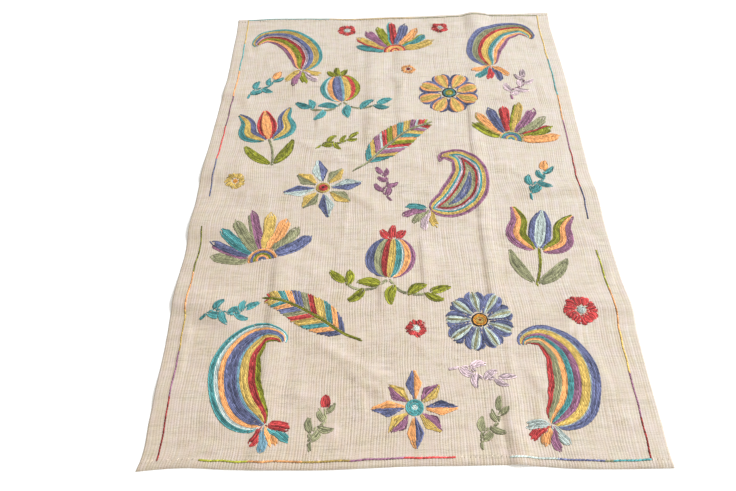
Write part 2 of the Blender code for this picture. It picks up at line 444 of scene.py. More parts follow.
class Tree:
    """A new material's nodes, with a short call for each kind."""

    def __init__(self, name):
        self.material = bpy.data.materials.new(name)
        self.material.use_nodes = True
        self.tree = self.material.node_tree
        self.place = self.add("TexCoord").outputs["Object"]

    def feed(self, node, inputs):
        """A node once its inputs are set, or linked where they are sockets."""
        for socket, value in dict(inputs).items():
            if isinstance(value, bpy.types.NodeSocket):
                self.tree.links.new(value, node.inputs[socket])
            else:
                node.inputs[socket].default_value = value
        return node

    def add(self, kind, inputs=(), **settings):
        """A new node with its settings made and its inputs fed."""
        node = self.tree.nodes.new("ShaderNode" + kind)
        for name, value in settings.items():
            setattr(node, name, value)
        return self.feed(node, inputs)

    def math(self, operation, *values):
        return self.add("Math", dict(enumerate(values)), operation=operation).outputs[0]

    def times(self, *values):
        return reduce(lambda product, value: self.math("MULTIPLY", product, value), values)

    def plus(self, *values):
        return reduce(lambda total, value: self.math("ADD", total, value), values)

    def vector(self, operation, inputs):
        return self.add("VectorMath", inputs, operation=operation).outputs[0]

    def parts(self, vector):
        return self.add("SeparateXYZ", {0: vector}).outputs

    def stored(self, name):
        """A vector stored at the mesh's points."""
        return self.add("Attribute", attribute_name=name).outputs["Vector"]

    def mix(self, share, first, second, mode="MIX"):
        inputs = {0: share, 6: first, 7: second}
        return self.add("Mix", inputs, data_type="RGBA", blend_type=mode).outputs[2]

    def noise(self, scale, detail=3.0, where=None):
        """A Noise texture, with one scale or one for each axis."""
        if where is None:
            where = self.place
        if isinstance(scale, tuple):
            where, scale = self.vector("MULTIPLY", {0: where, 1: scale}), 1.0
        inputs = {"Vector": where, "Scale": scale, "Detail": detail, "Roughness": NOISE_ROUGHNESS}
        return self.add("TexNoise", inputs).outputs[0]

    def remap(self, value, low, high, to_low=0.0, to_high=1.0):
        """A value's range moved to another, and kept inside it."""
        inputs = {"Value": value, "From Min": low, "From Max": high, "To Min": to_low, "To Max": to_high}
        return self.add("MapRange", inputs).outputs[0]

    def bump(self, height, strength, distance):
        return self.add("Bump", {"Strength": strength, "Distance": distance, "Height": height}).outputs[0]

    def finish(self, inputs):
        """The material, once its shader's inputs are fed."""
        self.feed(self.tree.nodes["Principled BSDF"], inputs)
        return self.material


NOISE_ROUGHNESS = 0.6
# The clean cloth, and the browner cloth where it is soiled and where shade is painted.
CLEAN_COLOUR = (0.664, 0.598, 0.516, 1)
SOILED_AND_SHADED_COLOUR = (0.622, 0.526, 0.428, 1)
# The dark brown between the ribs: partly dirt, partly painted shade in the hollows.
VALLEY_COLOUR = (0.330, 0.250, 0.160, 1)
PINKISH = (1.024, 0.986, 1.032, 1)
YELLOWISH = (0.984, 1.004, 0.948, 1)
# How strongly each channel follows the changes of tone: dark parts are browner.
TONE_SHARES = (0.62, 1.0, 1.95)
# The lightest tone, and how softly lighter ones are held down to it.
TONE_MOST = 1.04
TONE_SOFTNESS = 0.12
PICK_PITCH = 0.0046
# The middle of what a Noise texture gives.
NOISE_LOW = 0.27
NOISE_HIGH = 0.73
COTTON = {"Roughness": 0.92, "Specular IOR Level": 0.2, "Sheen Weight": 0.12, "Sheen Roughness": 0.6}
COTTON_BUMP = (0.5, 0.0008)


def soil_and_shade(tree):
    """How soiled and shaded the cloth is: most at the near left, least at the far right; the slow drift
    away from the light is painted shade, the stains are soil.
    """
    x, y, _ = tree.parts(tree.place)
    clouds = tree.times(tree.noise(3.2), 0.9)
    drift = tree.plus(tree.times(x, 0.55), tree.times(y, 0.44), clouds)
    stains = tree.times(tree.remap(tree.noise(8), 0.60, 0.76), 0.6)
    return tree.plus(tree.remap(drift, 1, -0.10), stains)


def rib_hollow_dirt_and_shade(tree, weave, beside, soiled_and_shaded):
    """Dark dashes between the ribs, partly dirt and partly painted shade in the hollows, most on soiled and
    shaded patches and on the hems.
    """
    rib, along, _ = tree.parts(weave)
    hem = tree.remap(tree.math("ABSOLUTE", along), HEM_LINE - 0.001, HEM_LINE + 0.003)
    own = tree.add("TexWhiteNoise", {"W": tree.math("FLOOR", rib)}, noise_dimensions="1D").outputs[0]
    wobble = tree.times(tree.noise(42, 2), 2.2)
    turn = tree.plus(tree.math("DIVIDE", along, PICK_PITCH), tree.times(own, 3), wobble)
    wave = tree.math("SINE", tree.times(turn, 2 * math.pi))
    crown = tree.math("POWER", tree.math("SINE", tree.times(tree.math("FRACT", rib), math.pi)), 0.7)
    dashes = tree.remap(tree.noise((0.9, 80, 0), 3, weave), 0.34, 0.62, 0.1, 1)
    patches = tree.times(
        tree.remap(tree.noise(14), 0.38, 0.60, 0.12, 1.3),
        tree.remap(soiled_and_shaded, 0, 1, 0.65, 1.35),
        tree.remap(beside, 0.15, 0.60, 1.12, 0.75),
    )
    dash = tree.math("MAXIMUM", tree.times(dashes, patches), tree.times(hem, 0.9))
    dash = tree.times(dash, tree.remap(wave, -0.2, 0.9, 1, 0.35))
    return tree.remap(wave, -1, 1), crown, tree.times(tree.remap(crown, 0.74, 0.05), dash)


def swings(tree, tone, layers):
    """A tone times layers of noise, each with its own spread."""
    for layer, spread in layers:
        swing = tree.remap(layer, NOISE_LOW, NOISE_HIGH, -1, 1)
        tone = tree.times(tone, tree.math("MULTIPLY_ADD", swing, spread, 1))
    return tone


def browner_tone(tree, weave):
    """The slow changes of tone, as a factor for each channel."""
    ribs = tree.remap(tree.noise((0.9, 6, 0), 2, weave), 0.25, 0.75, 0.93, 1.07)
    tone = swings(tree, ribs, ((tree.noise(9, 4), 0.026), (tree.noise(48), 0.040)))
    return tree.vector("MULTIPLY_ADD", {0: tree.math("SUBTRACT", tone, 1), 1: TONE_SHARES, 2: (1, 1, 1)})


def fine_tone(tree, beside, streaks, weft, threads, fibres):
    """The fine changes of tone, which are calmer at the sides."""
    calmer = tree.remap(beside, 0.20, 0.60, 1.08, 0.72)
    patch = tree.times(tree.remap(tree.noise(17, 2), 0.36, 0.62, 0.2, 1.8), calmer)
    streaky = tree.times(tree.remap(tree.noise(5, 2), 0.38, 0.62, 0.035, 0.125), calmer)
    # Painted shade: the cloth a little darker towards the near end at both sides.
    near = tree.remap(tree.parts(tree.place)["Y"], 0.35, -0.15)
    painted_edge_shade = tree.math("MULTIPLY_ADD", tree.times(near, tree.remap(beside, 0.22, 0.50)), -0.04, 1)
    woven = ((weft, tree.times(patch, 0.105)), (threads, tree.times(patch, 0.062)))
    layers = ((streaks, streaky), *woven, (fibres, 0.06))
    return tree.math("SMOOTH_MIN", swings(tree, painted_edge_shade, layers), TONE_MOST, TONE_SOFTNESS)


def cotton_material():
    """Unbleached cotton: soft ribs, uneven weft in streaks, and soil with painted shade in the hollows, on
    the folds' sides away from the light and towards the near left.
    """
    tree = Tree("natural_cotton")
    weave = tree.stored("weave")
    beside = tree.math("ABSOLUTE", tree.parts(tree.place)["X"])
    # Soil with painted shade: the drift away from the light, and the folds' sides that face away from it.
    soiled_and_shaded = tree.plus(soil_and_shade(tree), tree.times(tree.parts(weave)["Z"], 0.55))
    wave, crown, hollow_dirt_and_shade = rib_hollow_dirt_and_shade(tree, weave, beside, soiled_and_shaded)
    streaks = tree.noise((10, 60, 0))
    weft = tree.noise((0.11, 210, 0), 2, weave)
    threads = tree.noise((0.8, 1000, 0), 1, weave)
    fibres = tree.noise(900, 2)
    tint = tree.mix(tree.remap(tree.noise(34), 0.33, 0.67), PINKISH, YELLOWISH)
    # Soil and painted shade darken and warm the cloth.
    colour = tree.mix(soiled_and_shaded, CLEAN_COLOUR, SOILED_AND_SHADED_COLOUR)
    # Dirt and painted shade in the hollows between the ribs.
    colour = tree.mix(tree.times(hollow_dirt_and_shade, 0.80), colour, VALLEY_COLOUR)
    colour = tree.mix(1, colour, tint, "MULTIPLY")
    colour = tree.vector("MULTIPLY", {0: colour, 1: browner_tone(tree, weave)})
    colour = tree.vector("SCALE", {0: colour, 3: fine_tone(tree, beside, streaks, weft, threads, fibres)})
    height = tree.times(wave, tree.remap(crown, 0.2, 0.9, 0, 0.7))
    for layer, share in ((fibres, 0.5), (threads, 0.5), (weft, 0.9), (streaks, 1.0)):
        height = tree.plus(height, tree.times(layer, share))
    return tree.finish({"Base Color": colour, "Normal": tree.bump(height, *COTTON_BUMP), **COTTON})


YARNS = {
    "teal": (0.077, 0.277, 0.284),
    "red": (0.415, 0.048, 0.048),
    "peach": (0.800, 0.382, 0.145),
    "gold": (0.615, 0.433, 0.120),
    "slate": (0.112, 0.125, 0.229),
    "purple": (0.290, 0.130, 0.214),
    "lime": (0.228, 0.237, 0.023),
    "sage": (0.294, 0.294, 0.167),
    "sky": (0.164, 0.304, 0.380),
    "ice": (0.465, 0.543, 0.514),
    "lilac": (0.525, 0.411, 0.443),
    "orange": (0.620, 0.270, 0.035),
    "maroon": (0.170, 0.014, 0.018),
    "black": (0.020, 0.020, 0.024),
}
HEM_YARN = (0.62, 0.53, 0.42)
# How strongly a yarn's tone swings, where that isn't one.
TONE_SWINGS = {
    "red": 1.45, "slate": 1.35, "lime": 1.40, "teal": 1.15, "purple": 1.15, "lilac": 1.30, "gold": 0.90,
}
TONE_MIDDLE = 0.80
TWISTS = 330.0
TWIST_SLANT = 2.6
YARN = {"Roughness": 0.78, "Specular IOR Level": 0.25, "Sheen Weight": 0.05, "Sheen Roughness": 0.5}
YARN_BUMP = (0.7, 0.0006)


def yarn_material(name, colour):
    """Stitching yarn: tones that change from stitch to stitch, and fine strands along it."""
    tree = Tree("yarn_" + name)
    strand = tree.stored("strand")
    along, around, chance = tree.parts(strand)
    twist = tree.plus(tree.times(along, TWISTS), tree.times(around, TWIST_SLANT))
    ply = tree.math("ABSOLUTE", tree.math("SINE", tree.times(twist, math.pi)))
    strands = tree.noise((110, 9, 40), 2, strand)
    fuzz = tree.noise(1500, 2)
    tone = tree.times(
        tree.remap(chance, 0.1, 0.9, 0.50, 1.53),
        tree.remap(strands, 0.25, 0.75, 0.80, 1.20),
        # Painted shade: each stitch darker towards its sides, where it meets the next row.
        tree.remap(tree.math("ABSOLUTE", around), 0.04, 0.36, 1.14, 0.45),
        tree.remap(tree.noise(45), 0.3, 0.7, 0.82, 1.17),
        tree.remap(ply, 0, 0.55, 0.74, 1.05),
        tree.remap(fuzz, 0.25, 0.75, 0.90, 1.10),
    )
    tone = tree.math("POWER", tree.math("DIVIDE", tone, TONE_MIDDLE), TONE_SWINGS.get(name, 1))
    shade = tree.vector("SCALE", {0: [TONE_MIDDLE * part for part in colour], 3: tone})
    height = tree.plus(ply, strands, tree.times(fuzz, 0.5))
    return tree.finish({"Base Color": shade, "Normal": tree.bump(height, *YARN_BUMP), **YARN})


# Yarn paths. A row is a colour, a path on the straight rug, the room beside its neighbours, its longest
# stitch and the number of its shape.


def distances(path):
    """How far along a path each of its points lies."""
    return np.concatenate(([0], np.cumsum(np.linalg.norm(np.diff(path, axis=0), axis=1))))


def read_along(at, run, path):
    """Points or directions of a path at distances along it."""
    return np.stack([np.interp(at, run, path[:, 0]), np.interp(at, run, path[:, 1])], -1)


def even(path):
    """A path's points again, at equal steps."""
    run = distances(path)
    return read_along(np.linspace(0, run[-1], max(3, int(run[-1] / PATH_STEP) + 1)), run, path)


def smooth_path(points):
    """A smooth path through a few points."""
    points = np.asarray(points, float)
    run = distances(points)
    return even(smooth_curve(run, points, np.linspace(0, run[-1], 120)))


def headings(path):
    """Directions along a path, one at each of its points."""
    way = np.gradient(path, axis=0)
    return way / np.linalg.norm(way, axis=1)[:, None]


def left_of(way):
    """Directions turned a quarter to the left."""
    return np.stack([-way[..., 1], way[..., 0]], -1)


def toward(angle):
    """Points at distance one from the origin, at angles in radians."""
    return np.stack([np.cos(angle), np.sin(angle)], -1)


def turning(angle, size=1.0, flip=1):
    """The matrix that flips, turns and scales rows of points."""
    c, s = math.cos(angle), math.sin(angle)
    return size * np.array([[flip * c, flip * s], [-s, c]])


def bell(rise, fall):
    """A width that swells to one and falls again."""
    peak = rise / (rise + fall)
    most = peak ** rise * (1 - peak) ** fall
    return lambda share: np.clip(share, 0, 1) ** rise * (1 - np.clip(share, 0, 1)) ** fall / most


drop_width = bell(0.5, 0.95)
leaf_width = bell(0.75, 0.95)
petal_width = bell(1.0, 0.45)
berry_width = bell(0.7, 0.35)


def round_width(share):
    return np.sqrt(np.clip(1 - (2 * share - 1) ** 2, 0, 1))


def finger_width(share):
    return np.clip(share / 0.25, 0, 1) ** 0.6 * np.clip((1 - share) / 0.13, 0, 1) ** 0.4


def diamond_width(share):
    return 1 - np.abs(2 * share - 1)


def striped(words):
    """Colours and weights of stripes, from words such as "2 teal 3 gold"."""
    words = words.split()
    return [(colour, int(weight)) for weight, colour in zip(words[::2], words[1::2])]


def stripe_at(stripes, share):
    """The colour at a share of the way across stripes."""
    weights = np.cumsum([weight for _, weight in stripes])
    return stripes[min(int(np.searchsorted(weights, share * weights[-1])), len(stripes) - 1)][0]


def runs_of(keep):
    """Starts and ends of the unbroken runs of true values."""
    edges = np.flatnonzero(np.diff(np.concatenate(([0], keep.astype(int), [0]))))
    return zip(edges[::2], edges[1::2])


HAND = np.random.default_rng(HAND_SEED)


def wander(count, wave):
    """A slow random drift between -1 and 1 along a path."""
    knots = HAND.uniform(-1, 1, int(count * PATH_STEP / wave) + 3)
    return smooth_curve(np.arange(len(knots)), knots, np.arange(count) * PATH_STEP / wave)


class Motif:
    """Rows of yarn for one motif, at its place, turn and size on the straight rug."""

    def __init__(self, x, y, turn=0.0, size=1.0, flip=1):
        self.axes = turning(math.radians(turn), size, flip)
        self.at = np.array([x, y])
        self.size = size
        self.rows = []
        self.shape = 0

    def place(self, points):
        """Points of the motif's own drawing, on the rug."""
        return np.asarray(points, float) @ self.axes + self.at

    def spine(self, points):
        """A new shape's line on the rug, and the directions to its left."""
        self.shape += 1
        line = smooth_path(self.place(points))
        return line, left_of(headings(line))

    def row(self, colour, path, room, ragged=0.0):
        """One row of yarn by hand: it drifts a little, and its ends fall short or run over."""
        room = np.broadcast_to(room, len(path))
        reach = int(ragged / PATH_STEP)
        if reach:
            step = np.arange(1, reach + 1)[:, None]
            before = path[0] - (path[1] - path[0]) * step[::-1]
            after = path[-1] + (path[-1] - path[-2]) * step
            short = HAND.integers(0, 2 * reach + 1, 2)
            cut = slice(short[0], len(path) + 2 * reach - short[1])
            path = np.concatenate([before, path, after])[cut]
            room = np.pad(room, reach, mode="edge")[cut]
        if len(path) > FEWEST_POINTS:
            drift = left_of(headings(path)) * (wander(len(path), HAND_WAVE)[:, None] * HAND_DRIFT)
            self.rows.append((colour, path + drift, room, STITCH_LENGTH, self.shape))

    def stem(self, points, colour):
        """Two rows side by side along a line."""
        spine, aside = self.spine(points)
        for side in (-0.5, 0.5):
            self.row(colour, spine + aside * YARN_PITCH * side, YARN_PITCH, 0.004)

    def band(self, points, half, stripes, profile=leaf_width, ragged=0.003):
        """Rows along a line, spread over the band's width and striped across it."""
        spine, aside = self.spine(points)
        width = half * self.size * profile(np.linspace(0, 1, len(spine)))
        width = width + np.minimum(SHAPE_DRIFT * width, SHAPE_MOST) * wander(len(spine), SHAPE_WAVE)
        count = max(1, round(2 * half * self.size / YARN_PITCH))
        least = ROW_MIN_ROOM * YARN_PITCH
        for i in range(count):
            side = (i + 0.5) / count
            path = spine + aside * ((side * 2 - 1) * width)[:, None]
            fewer = 1 if i % 2 else (2 if i % 4 else 4)
            room = 2 * width / count
            for start, end in runs_of(room * fewer > least):
                if end - start > FEWEST_POINTS:
                    gap = room[start:end].copy()
                    for _ in range(2):
                        gap[gap < least] *= 2
                    self.row(stripe_at(stripes, side), path[start:end], gap, ragged)

    def rings(self, points, half, stripes):
        """Rows that follow a shape's rim, one inside the other."""
        spine, aside = self.spine(points)
        width = half * self.size * drop_width(np.linspace(0, 1, len(spine)))
        count = int(half * self.size / YARN_PITCH)
        for i in range(count):
            inner = width - (i + 0.5) * YARN_PITCH
            keep = np.flatnonzero(inner > 0)
            if len(keep) <= FEWEST_POINTS:
                break
            cut = slice(keep[0], keep[-1] + 1)
            reach = aside[cut] * np.clip(inner[cut], 0, None)[:, None]
            left, right = spine[cut] + reach, spine[cut] - reach
            loop = np.concatenate([left, right[::-1], left[:1]])
            self.row(stripe_at(stripes, (i + 0.5) / count), even(loop), YARN_PITCH)

    def disc(self, radius, stripes):
        """Rings round the motif's middle, striped from the rim inward."""
        self.shape += 1
        count = max(1, round(radius * self.size / YARN_PITCH))
        for i in range(count):
            reach = (i + 0.5) * YARN_PITCH
            angle = np.linspace(0, 2 * math.pi, 9 + int(reach * 2 * math.pi / PATH_STEP)) + i
            self.row(stripe_at(stripes, 1 - (i + 0.5) / count), self.at + reach * toward(angle), YARN_PITCH)

    def arches(self, radius, inner, colours):
        """Half rings round the motif's middle, two rows to a colour."""
        self.shape += 1
        arch = toward(np.linspace(-0.1, math.pi + 0.1, 40))
        for i in range(int(radius * self.size / YARN_PITCH)):
            ring = self.place(arch * (inner + i * YARN_PITCH) / self.size)
            self.row(colours[i // 2 % len(colours)], even(ring), YARN_PITCH)

    def slanted(self, points, half, stripes):
        """A leaf whose rows slant from its vein to its rim, striped along it."""
        spine, aside = self.spine(points)
        way = -left_of(aside)
        length = len(spine) * PATH_STEP
        count = int(length / (YARN_PITCH * math.sqrt(2)))
        reach = np.linspace(0, 1.2, 60) * half * self.size
        width = half * self.size
        for side in (-1, 1):
            for i in range(count):
                share = (i + 0.5) / count
                k = int(share * (len(spine) - 1))
                travelled = share + reach / length
                path = spine[k] + side * aside[k] * reach[:, None] + way[k] * reach[:, None]
                inside = path[(reach <= width * leaf_width(travelled)) & (travelled < 1)]
                if len(inside) > SLANTED_POINTS:
                    self.row(stripe_at(stripes, share * 2 % 1), even(inside), YARN_PITCH, 0.002)

    def leaf(self, at, angle, length, half, stripes, bend=0.12, profile=leaf_width, ragged=0.002, tuck=0.0):
        """One leaf or petal at an angle in radians."""
        line = np.array([(-tuck, 0), (length * 0.5, length * bend), (length, 0)])
        self.band(line @ turning(angle) + at, half, stripes, profile, ragged)

    def sprig(self, points, colour, leaves, leaf_colour=None, bud=None):
        """A stem with leaves on both sides in turn and a last one at its tip."""
        self.stem(points, colour)
        spine = smooth_path(points)
        way = np.gradient(spine, axis=0)
        heading = np.arctan2(way[:, 1], way[:, 0])
        green = [(leaf_colour or colour, 1)]
        for i, share in enumerate(np.linspace(0.20, 0.90, leaves)):
            k = int(share * (len(spine) - 1))
            side = 1 if i % 2 else -1
            size = 1.08 - 0.3 * share
            angle = heading[k] + side * LEAF_LEAN
            length, half = LEAF_LENGTH * size, LEAF_HALF * size
            self.leaf(spine[k], angle, length, half, green, 0.14 * side, tuck=LEAF_TUCK)
        tip = [(bud, 1)] if bud else green
        tip_half = LEAF_HALF * (1.25 if bud else 0.9)
        self.leaf(spine[-1], heading[-1], LEAF_LENGTH * 0.85, tip_half, tip, 0.05, tuck=1.6 * LEAF_TUCK)

    def flower(self, radius, petals, stripes, heart, heart_share, profile, fat):
        """Petals round a ringed heart."""
        half = radius * math.sin(math.pi / petals) * fat
        start = radius * heart_share * 0.8
        for i in range(petals):
            angle = 2 * math.pi * i / petals + 0.3
            longer = 0.95 + 0.10 * ((i * 7) % petals) / petals
            self.leaf(start * toward(angle), angle, radius * longer - start, half, stripes, 0.0, profile)
        self.disc(radius * heart_share, heart)


# Motifs. Each drawing is in metres at size one, about its own middle.

RAINBOW_A = "2 teal 3 gold 3 slate 1 lilac 2 red 3 lime 2 peach 2 purple"
RAINBOW_B = "2 purple 2 peach 1 ice 2 teal 3 gold 2 red 3 sage 3 slate"
RAINBOW_C = "2 lime 2 red 3 gold 1 sky 4 slate 2 peach 1 ice 2 teal"
RAINBOW_D = "3 slate 1 ice 3 gold 3 purple 2 teal 2 peach 3 sage 2 red"
NEST = "3 purple 3 gold 2 teal 1 lilac 2 red 3 sage 3 slate"
CURL = (
    (-0.004, -0.118), (-0.030, -0.060), (-0.022, 0.010), (0.020, 0.068), (0.074, 0.082), (0.102, 0.054),
    (0.092, 0.030),
)
CURL_FOOT = (-0.002, -0.118)
FINGERS = 9
FINGER_SPREAD = 1.25


def paisley(motif, stripes, ringed=False, finger=0.050):
    """A curled drop, striped lengthwise or in rings, with five coloured fingers at its foot."""
    stripes = striped(stripes)
    if ringed:
        motif.rings(CURL, 0.058, stripes)
    else:
        motif.band(CURL, 0.056, stripes, drop_width)
    for i, angle in enumerate((-2.60, -2.12, -1.60, -1.08, -0.58)):
        colour = [(stripes[(2 * i + 1) % len(stripes)][0], 1)]
        length = finger * (1.2 if i % 2 else 1.0)
        start = CURL_FOOT + 0.013 * toward(angle)
        motif.leaf(start, angle, length, 0.0098, colour, 0.08, finger_width, 0.007, tuck=0.008)


def plume(motif, colours, heart):
    """A fan of long feathery fingers over a ringed half round foot."""
    colours = colours.split()
    for i in range(FINGERS):
        lean = -FINGER_SPREAD + 2 * FINGER_SPREAD * i / (FINGERS - 1)
        length = 0.112 * (1 - 0.18 * abs(lean) / FINGER_SPREAD) * (0.92 + 0.16 * ((i * 5) % 7) / 7)
        sweep = 0.10 * math.copysign(min(1, abs(lean)), lean)
        middle = (0.026 + length * 0.5, -length * sweep * 0.6)
        line = np.array([(0.019, 0), middle, (0.026 + length, length * sweep * 0.2)])
        colour, edge = colours[i % len(colours)], colours[(i + 3) % len(colours)]
        stripes = [(colour, 3), (edge, 1)] if i % 3 == 1 else [(colour, 1)]
        motif.band(line @ turning(math.pi / 2 - lean), 0.0128, stripes, finger_width, 0.010)
    motif.arches(0.028, 0.006, heart.split())


def pomegranate(motif, stripes, crown, twig_colour, leaf_colour):
    """A round striped fruit with a crown of sepals, on leafy twigs."""
    right = [(0.004, -0.062), (0.030, -0.090), (0.072, -0.096), (0.098, -0.086)]
    left = [(0.000, -0.064), (-0.034, -0.088), (-0.072, -0.088), (-0.096, -0.070)]
    for points in (right, left):
        motif.sprig(points, twig_colour, 3, leaf_colour)
    motif.band([(0, -0.058), (0, 0.0), (0, 0.060)], 0.058, striped(stripes), round_width)
    for angle, length in ((0.95, 0.036), (1.57, 0.046), (2.19, 0.036)):
        motif.leaf((0.014 * math.cos(angle), 0.056), angle, length, 0.0100, [(crown, 1)], 0.05)


def tulip(motif, outer, middle, stalk, leaves):
    """An open tulip on a stalk with two long leaves."""
    motif.stem([(0.0, -0.125), (0.006, -0.07), (0.0, -0.010)], stalk)
    motif.band([(0.0, -0.020), (0.0, 0.035), (0.0, 0.105)], 0.027, striped(middle))
    outer = striped(outer)
    for side in (-1, 1):
        petal = np.array([(0.008, -0.026), (0.052, 0.012), (0.051, 0.060), (0.074, 0.104)])
        motif.band(petal * (side, 1), 0.0240, outer if side > 0 else outer[::-1])
        leaf = np.array([(0.004, -0.118), (0.040, -0.080), (0.066, -0.030)])
        motif.band(leaf * (side, 1), 0.0145, [(leaves, 1)])


def feather_leaf(motif, stripes, vein):
    """A long leaf with slanting bands on both sides of its vein."""
    middle = ((-0.012, -0.110), (-0.006, -0.040), (0.010, 0.040))
    motif.slanted((*middle, (0.046, 0.112)), 0.044, striped(stripes))
    motif.stem(((-0.024, -0.150), *middle, (0.040, 0.100)), vein)


def star(motif, colours, heart):
    """A star of two-coloured diamonds round a ringed heart."""
    colours = colours.split()
    for i in range(8):
        angle = 2 * math.pi * i / 8
        length = 0.086 * (0.80 if i % 2 else 1)
        pair = [(colours[i % 2], 1), (colours[2 + i % 2], 1)]
        motif.leaf(0.015 * toward(angle), angle, length, 0.0195, pair, 0.0, diamond_width)
    motif.disc(0.018, striped(heart))


def rosette(motif, stripes, heart, petals=8):
    """A large flower with striped petals."""
    motif.flower(0.090, petals, striped(stripes), striped(heart), 0.25, petal_width, 0.84)


def blossom(motif, colour, heart):
    """A small plain flower."""
    motif.flower(0.034, 5, [(colour, 1)], [(heart, 1)], 0.28, berry_width, 1.05)


def twig(motif, colour, leaves, bud=None, leaf_colour=None):
    """A leafy twig on its own."""
    motif.sprig([(0, 0), (0.048, 0.018), (0.096, -0.008), (0.140, 0.006)], colour, leaves, leaf_colour, bud)


# Every motif of the field, in staggered lines of three and two with twigs and blossoms between: what draws
# it, its place, turn in degrees, size and flip, and its colours.
FIELD = (
    (paisley, (-0.378, 0.700, 16, 1.20, -1), RAINBOW_A),
    (plume, (0.004, 0.672, 4, 1.30), "teal gold purple lime red slate peach", "peach red gold"),
    (paisley, (0.380, 0.705, -12, 1.20), RAINBOW_B),
    (pomegranate, (-0.190, 0.462, 8, 1.24), RAINBOW_C, "lime", "sage", "teal"),
    (rosette, (0.188, 0.420, 0, 1.18), "1 slate 1 peach 2 gold 1 peach 1 slate",
     "1 black 2 teal 2 lime 2 gold"),
    (tulip, (-0.415, 0.225, 12, 1.22), "2 teal 2 gold 2 slate", "1 red 2 peach 1 red", "sage", "lime"),
    (feather_leaf, (0.005, 0.195, -34, 1.30), "2 teal 2 gold 2 purple 1 ice 2 red 2 lime 2 peach", "sage"),
    (plume, (0.375, 0.180, -14, 1.28), "lime peach slate red gold purple sage", "teal gold slate"),
    (star, (-0.220, -0.020, 10, 1.28), "slate gold ice sage", "2 gold 2 red 1 black"),
    (paisley, (0.190, -0.020, -44, 1.14, -1), NEST, True),
    (plume, (-0.378, -0.300, 14, 1.30), "sage slate teal sage purple gold peach", "slate peach lime"),
    (pomegranate, (-0.020, -0.300, -6, 1.24), RAINBOW_B, "red", "sage", "lime"),
    (tulip, (0.400, -0.250, -12, 1.24), "2 purple 2 peach 2 lime", "1 slate 2 ice 1 slate", "lime", "sage"),
    (feather_leaf, (-0.245, -0.470, 48, 1.16, -1), "2 slate 2 peach 2 teal 3 gold 2 red 2 sage", "lime"),
    (rosette, (0.205, -0.512, 0, 1.00), "2 slate 1 ice 1 sage 1 ice 2 slate",
     "1 black 2 orange 2 gold 1 maroon", 9),
    (paisley, (-0.382, -0.668, 26, 1.18), RAINBOW_C, False, 0.037),
    (star, (0.030, -0.758, 0, 1.10), "peach gold slate purple", "2 teal 1 ice"),
    (paisley, (0.392, -0.673, -22, 1.12, -1), RAINBOW_D, False, 0.039),
    (blossom, (-0.175, 0.815, 0, 1.0), "red", "ice"),
    (blossom, (0.180, 0.812, 0, 0.9), "red", "ice"),
    (blossom, (0.466, -0.480, 0, 1.25), "red", "ice"),
    (blossom, (-0.490, 0.010, 0, 0.9), "gold", "orange"),
    (blossom, (0.050, 0.560, 20, 0.75), "peach", "maroon"),
    (blossom, (0.042, -0.535, 0, 0.8), "red", "ice"),
    (twig, (-0.510, 0.410, 50), "teal", 5, "peach"),
    (twig, (0.400, 0.375, 66), "purple", 6, None, "lilac"),
    (twig, (-0.250, 0.155, 24, 0.85), "lime", 5),
    (twig, (0.400, -0.085, 62), "teal", 5, "peach"),
    (twig, (-0.015, -0.080, 100, 0.85), "purple", 5),
    (twig, (-0.520, -0.500, 14, 0.9), "teal", 6),
    (twig, (0.120, -0.655, -14, 0.90), "lilac", 5),
    (twig, (-0.215, -0.855, 70, 0.80), "sage", 5, "red"),
    (twig, (0.180, -0.865, 62, 0.80), "sage", 5),
)


FAR_LEFT = (-0.561, 0.892)
FAR_RIGHT = (0.555, 0.880)
NEAR_LEFT = (-0.561, -0.882)
NEAR_RIGHT = (0.555, -0.882)
BARE = "bare"
# The line of yarn inside the rug's edge: the room, ends, and colours with their lengths in millimetres
# of each of its four sides.
LINES = (
    (0.0034, FAR_LEFT, NEAR_LEFT, "160 gold 160 teal 150 peach 150 purple 160 red 160 slate 130 bare"
     " 160 lime 130 peach 120 gold 130 purple 160 red"),
    (0.0034, FAR_RIGHT, NEAR_RIGHT, "280 gold 200 teal 130 peach 140 purple 170 red 120 slate 120 bare"
     " 130 lime 130 peach 120 gold 120 purple 100 red"),
    (0.0042, NEAR_LEFT, NEAR_RIGHT, "100 bare 110 lime 120 peach 110 gold 120 purple 115 red 125 bare"
     " 105 ice 100 slate 20 sage 85 teal"),
    (0.0034, FAR_LEFT, FAR_RIGHT, "320 teal 330 gold 470 sage"),
)
LINE_STITCH = 0.0110
LINE_WAVE = 0.03
LINE_DRIFT = 0.0015
# How much of the shade at a stitch's sides is left where a row lies alone.
LINE_EDGE = 0.45


def border_rows():
    """The line inside the edge as rows end to end, one for each colour, and none where it is bare."""
    rows = []
    for room, start, end, colours in LINES:
        colours = striped(colours)
        path = even(np.array([start, end]))
        path = path + left_of(headings(path)) * (wander(len(path), LINE_WAVE) * LINE_DRIFT)[:, None]
        ends = np.cumsum([0] + [length for _, length in colours])
        ends = ends / ends[-1] * len(path)
        for (colour, _), first, last in zip(colours, ends[:-1], ends[1:]):
            if colour != BARE:
                rows.append((colour, path[max(int(first) - 2, 0):int(last) + 2], room, LINE_STITCH, 0))
    return rows


# Stitches

# Stations along a stitch, and its width and height at each, as shares.
STATIONS = np.array([0.0, 0.12, 0.5, 0.88, 1.0])
SWELL = np.array([0.0, 0.80, 1.0, 0.80, 0.0])
CROWN = np.array([0.0, 0.86, 1.0, 0.86, 0.0])
# The five points round a stitch: their angles, how far round they lie, the height of their middle and their
# reach from it as shares of the stitch's height, and which stations have rings and tips.
RING = np.radians([90, 18, -54, -126, 162])
AROUND = np.array([0, 1, 2, -2, -1]) / 5
RING_MIDDLE = 0.30
RING_REACH = 0.70
RINGS = slice(1, 4)
TIPS = [0, 4]
SHORTEST_STITCH = 0.0025
